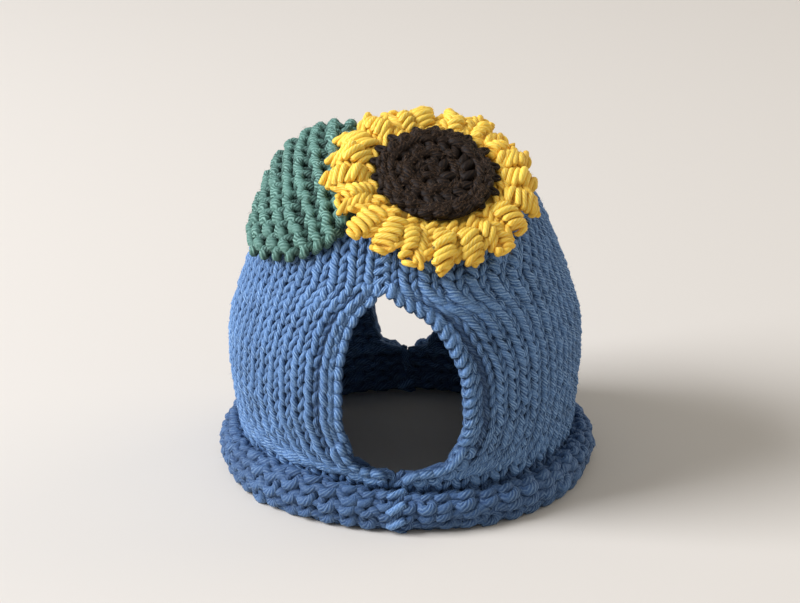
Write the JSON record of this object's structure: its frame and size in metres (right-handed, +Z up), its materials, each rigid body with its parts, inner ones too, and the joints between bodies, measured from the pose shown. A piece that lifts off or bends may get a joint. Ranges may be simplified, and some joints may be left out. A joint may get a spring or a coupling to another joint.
{
  "type": "tea cosy",
  "caption": "Hand-knitted tea cosy with a rolled hem, a spout opening and a handle opening, a garter-stitch leaf and a crocheted sunflower on top.",
  "frame": {"origin": "middle of the hem, on the surface that the cosy stands on", "axes": "+Z up; the spout opening faces -Y and the handle opening faces +Y; +X is to the right seen from the spout side"},
  "size_m": [0.1277, 0.1235, 0.122],
  "materials": {
    "blue_yarn": "stockinette-knitted double knitting yarn",
    "green_yarn": "garter-stitch double knitting yarn",
    "yellow_yarn": "crocheted double knitting yarn",
    "brown_yarn": "crocheted double knitting yarn"
  },
  "bodies": {
    "root": {"left_half": "blue_yarn", "right_half": "blue_yarn", "leaf": "green_yarn", "petal_round": "yellow_yarn", "flower_centre": "brown_yarn"}
  },
  "joints": []
}
